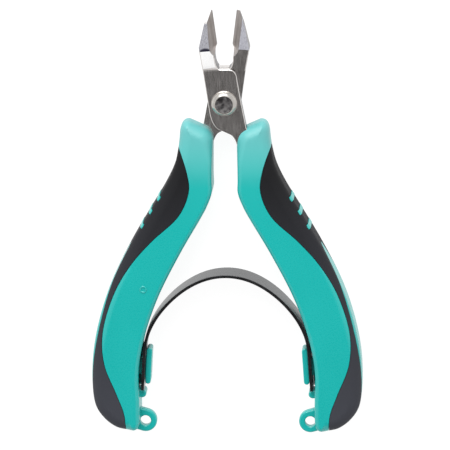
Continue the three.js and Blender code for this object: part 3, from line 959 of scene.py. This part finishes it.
def plastic(name, colour, shade, sheen_colour):
    """Hard moulded plastic: a fine spark-eroded texture under a satin gloss, matt by the head, with a
    painted sheen that pales the colour towards the head.
    """
    material, surface = shader(name, colour, 0.28)
    nodes, links = material.node_tree.nodes, material.node_tree.links
    flow = noise(material, (0.06, 0.035, 0.06), 2)
    grain = noise(material, (5, 5, 5), 3)
    along = object_y(material)
    moulded = mixed_colour(material, surface, ranged(material, flow, 0, 1), colour, shade)
    # Painted sheen: the colour pales towards the head, where light catches the rounded tops.
    towards_head = ranged(material, along, 0, 1, SHEEN_START_Y, SHEEN_END_Y)
    sheened = mixed_colour(material, surface, towards_head, colour, sheen_colour)
    links.new(moulded.outputs["Result"], sheened.inputs["A"])
    roughness = nodes.new("ShaderNodeMath")
    links.new(ranged(material, grain, -0.03, 0.03), roughness.inputs[0])
    links.new(ranged(material, along, 0.28, 0.4, MATT_START_Y, MATT_END_Y), roughness.inputs[1])
    roughened(material, surface, roughness.outputs["Value"])
    bump(material, surface, grain, 0.012)
    surface.inputs["IOR"].default_value = 1.55
    return material


def rubber(name):
    """Soft-touch rubber: matt and finely grained, greyer towards the end of the handle with a painted
    sheen.
    """
    material, surface = shader(name, (0.008, 0.008, 0.009), 0.5)
    surface.inputs["Specular IOR Level"].default_value = 0.16
    # Painted sheen: greyer and a little bluer towards the end of the handle.
    towards_end = ranged(material, object_y(material), 1, 0, PAD_SHEEN_END_Y, PAD_SHEEN_START_Y)
    mixed_colour(material, surface, towards_end, (0.006, 0.006, 0.007), (0.04, 0.042, 0.052))
    grain = noise(material, (9, 9, 9), 4)
    roughened(material, surface, ranged(material, grain, 0.58, 0.74))
    bump(material, surface, grain, 0.02)
    return material


def blued(name):
    """Spring steel with a black oxide finish that shines at a low angle."""
    material, surface = shader(name, (0.05, 0.05, 0.053), 0.24, 0.9)
    streaks = noise(material, (0.4, 0.4, 6), 4)
    share = ranged(material, streaks, 0, 1)
    mixed_colour(material, surface, share, (0.04, 0.04, 0.043), (0.062, 0.062, 0.066))
    roughened(material, surface, ranged(material, streaks, 0.2, 0.3))
    bump(material, surface, streaks, 0.004)
    return material


def floor_finish(name):
    """A matt floor with an even glow, so that it looks almost white in any light."""
    material, surface = shader(name, (0.12, 0.12, 0.12), 0.8)
    mottle = noise(material, (0.02, 0.02, 0.02), 2)
    mixed_colour(material, surface, mottle, (0.115, 0.115, 0.115), (0.125, 0.125, 0.125))
    surface.inputs["Emission Color"].default_value = (1, 1, 1, 1)
    surface.inputs["Emission Strength"].default_value = FLOOR_GLOW
    return material


FLAT_STEEL = steel("steel_flat", (0.74, 0.71, 0.69), (0.66, 0.63, 0.61), 0.2, 0.004)
HOLLOW_STEEL = steel("steel_hollow", (0.42, 0.39, 0.375), (0.34, 0.31, 0.295), 0.42, 0.014)
# Painted shade: dark copies of the steel for the facets, darker on the left one.
FACET_SHADE_STEELS = {1: steel("steel_left_facet_painted_shade", (0.24, 0.24, 0.26), (0.2, 0.2, 0.22), 0.3, 0.006),
                -1: steel("steel_right_facet_painted_shade", (0.3, 0.3, 0.33), (0.26, 0.26, 0.29), 0.3, 0.006)}
painted_run_out_shade(FACET_SHADE_STEELS[1])
# Painted shade: a near-black copy of the steel for the step below the facet.
STEP_SHADE_STEEL = steel("steel_step_painted_shade", (0.12, 0.11, 0.12), (0.08, 0.08, 0.09), 0.4, 0.004)
# Painted highlight: a near-white copy of the steel for the relieved front face, which leans towards the
# light.
RELIEF_HIGHLIGHT_STEEL = steel("steel_relief_painted_highlight", (0.93, 0.925, 0.92), (0.9, 0.895, 0.89), 0.18, 0.002)
# Painted shade: a dark copy of the steel for the side walls.
WALL_SHADE_STEEL = steel("steel_wall_painted_shade", (0.22, 0.21, 0.21), (0.16, 0.155, 0.155), 0.4, 0.008)
PLATING = plated("rivet_plating")
DARK_DISC = dark_disc("rivet_dark_disc")
# The third colour is a painted sheen, paler towards the head.
GREEN = plastic("grip_green", (0.003, 0.35, 0.325), (0.006, 0.375, 0.35), (0.1, 0.375, 0.375))
BLACK = rubber("grip_black")
BLUED = blued("spring_black_oxide")


# ---- Assembly ----

def coated(piece, *finishes):
    piece.data.materials.clear()
    for finish in finishes:
        piece.data.materials.append(finish)
    return piece


def ground_faces(piece, side):
    """Gives each ground surface of a jaw its own finish, told apart by where it lies and how it leans: the
    facets, step and walls get steel with painted shade, the relieved face steel with a painted highlight.
    """
    flat, hollow, facet, step, relief, wall = range(6)
    coated(piece, FLAT_STEEL, HOLLOW_STEEL, FACET_SHADE_STEELS[side], STEP_SHADE_STEEL, RELIEF_HIGHLIGHT_STEEL, WALL_SHADE_STEEL)
    facet_normal = facet_turn(side).to_3x3() @ Vector((0, 0, 1))
    step_normal = facet_turn(side).to_3x3() @ Vector((0, 1, 0))
    relief_lean = math.sin(RELIEF_SLOPE) / 2
    near = 0.02
    for face in piece.data.polygons:
        normal, middle = face.normal, face.center
        within_groove = -side * middle.x < GROOVE_RADIUS_X + near and middle.y > GROOVE_END_Y - 0.3
        on_edge = abs(middle.x) < EDGE_X + near / 2
        slants = abs(normal.x) > near and normal.z > near
        if normal.dot(facet_normal) > 0.995 and middle.y > FACET_STARTS[side] - 0.5:
            face.material_index = facet
        elif normal.dot(step_normal) > 0.99 and middle.y < FACET_STARTS[side] + 1.5:
            face.material_index = step
        elif within_groove and slants and not on_edge:
            face.material_index = hollow
        elif normal.z > 0.9 and normal.y > relief_lean:
            face.material_index = relief
        elif abs(normal.x) > 0.6:
            face.material_index = wall
        else:
            face.material_index = flat
    return piece


def make_half(side, body, lever_name, node_side):
    """A lever with its grip. The front lever's handle is on the right."""
    jaw = ground_faces(lever(lever_name + "_ground", side), side)
    core = coated(grip_core(node_side + "_core_moulding", side), GREEN)
    pad = coated(grip_pad(node_side + "_pad_moulding", side), BLACK)
    for piece, node, slot in ((jaw, lever_name, "jaw_steel"),
                              (core, node_side + "_grip_core", "grip_plastic"),
                              (pad, node_side + "_grip_pad", "grip_rubber")):
        finished(placed(piece, side * HALF_OPENING))
        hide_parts(node)
        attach(piece, body)


def make_rivet(piece, node):
    """One of the rivet's two parts: plated, with a darker disc in the middle of its head."""
    coated(piece, PLATING, DARK_DISC)
    for face in piece.data.polygons:
        on_top = abs(face.center.z) > PLATE_FACE_Z + RIVET_SEAT_GAP
        face.material_index = int(on_top and face.center.xy.length < RIVET_DISC_RADIUS)
    finished(placed(piece, 0), 40)
    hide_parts(node)
    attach(piece, "rear_half")


def make_spring():
    """The leaf spring, placed at the pivot and left in the scene's own frame, on neither body."""
    band = coated(finished(placed(leaf_spring(), 0)), BLUED)
    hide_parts("leaf_spring")
    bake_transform(band)


# ---- Floor, light and camera, in metres ----

FLOOR_REACH = 3.0
FLOOR_GLOW = 0.92
PATCH_TILT = math.radians(-29)
PATCH_HALF_ANGLES = (math.radians(22), math.radians(31))
VIEW_TILT = math.radians(14)
VIEW_TURN = math.radians(3.4)
VIEW_ROLL = math.radians(-0.25)
VIEW_TARGET = Vector((-0.0003, -0.0004, PIVOT.z))
VIEW_WIDTH = 0.11946
LENS = 400
SENSOR = 36


def make_floor():
    corners = [(x * FLOOR_REACH, y * FLOOR_REACH, 0) for x, y in ((-1, -1), (1, -1), (1, 1), (-1, 1))]
    floor = mesh_object("floor", corners, [(0, 1, 2, 3)])
    floor.data.materials.append(floor_finish("pale_floor"))


def make_sky():
    """Even pale light from all round, with a darker patch overhead, as a dark ceiling gives."""
    world = bpy.data.worlds.new("studio")
    bpy.context.scene.world = world
    world.use_nodes = True
    nodes, links = world.node_tree.nodes, world.node_tree.links
    direction = nodes.new("ShaderNodeTexCoord")
    towards = nodes.new("ShaderNodeVectorMath")
    towards.operation = "DOT_PRODUCT"
    towards.inputs[1].default_value = (0, math.sin(PATCH_TILT), math.cos(PATCH_TILT))
    fade = nodes.new("ShaderNodeMapRange")
    fade.interpolation_type = "SMOOTHSTEP"
    fade.inputs["From Min"].default_value = math.cos(PATCH_HALF_ANGLES[1])
    fade.inputs["From Max"].default_value = math.cos(PATCH_HALF_ANGLES[0])
    mix = nodes.new("ShaderNodeMix")
    mix.data_type = "RGBA"
    mix.inputs["A"].default_value = (1.0, 1.0, 1.0, 1)
    mix.inputs["B"].default_value = (0.1, 0.097, 0.097, 1)
    links.new(direction.outputs["Generated"], towards.inputs[0])
    links.new(towards.outputs["Value"], fade.inputs["Value"])
    links.new(fade.outputs["Result"], mix.inputs["Factor"])
    links.new(mix.outputs["Result"], nodes["Background"].inputs["Color"])
    nodes["Background"].inputs["Strength"].default_value = 1.0


def make_softbox(name, azimuth, elevation, distance, size, power):
    """A square area light. Azimuth 0 stands on the +Y side, beyond the jaws."""
    light = bpy.data.lights.new(name, "AREA")
    light.size = size
    light.energy = power
    box_light = bpy.data.objects.new(name, light)
    bpy.context.scene.collection.objects.link(box_light)
    level = math.cos(math.radians(elevation))
    direction = Vector((math.sin(math.radians(azimuth)) * level, math.cos(math.radians(azimuth)) * level,
                        math.sin(math.radians(elevation))))
    box_light.location = PIVOT + direction * distance
    box_light.rotation_euler = direction.to_track_quat("Z", "Y").to_euler()


def make_camera():
    """A long lens from above, leaning a little towards the jaws."""
    camera = bpy.data.objects.new("camera", bpy.data.cameras.new("camera"))
    bpy.context.scene.collection.objects.link(camera)
    camera.data.lens = LENS
    camera.data.sensor_width = SENSOR
    distance = VIEW_WIDTH * LENS / SENSOR
    camera.data.clip_end = 2 * distance
    look = (Matrix.Rotation(-VIEW_TILT, 3, "X") @ Matrix.Rotation(VIEW_TURN, 3, "Y")
            @ Matrix.Rotation(-VIEW_ROLL, 3, "Z"))
    camera.location = VIEW_TARGET + look @ Vector((0, 0, distance))
    camera.rotation_euler = look.to_euler()
    bpy.context.scene.camera = camera


make_camera()
make_floor()
make_sky()
make_softbox("top_softbox", azimuth=-10, elevation=38, distance=0.6, size=0.45, power=4.2)
bpy.context.scene.view_settings.view_transform = "Standard"

make_half(1, "front_half", "front_jaw_lever", "right")
make_half(-1, "rear_half", "rear_jaw_lever", "left")
make_rivet(rivet_barrel(), "pivot_rivet_barrel")
make_rivet(rivet_pin(), "pivot_rivet_pin")
make_spring()
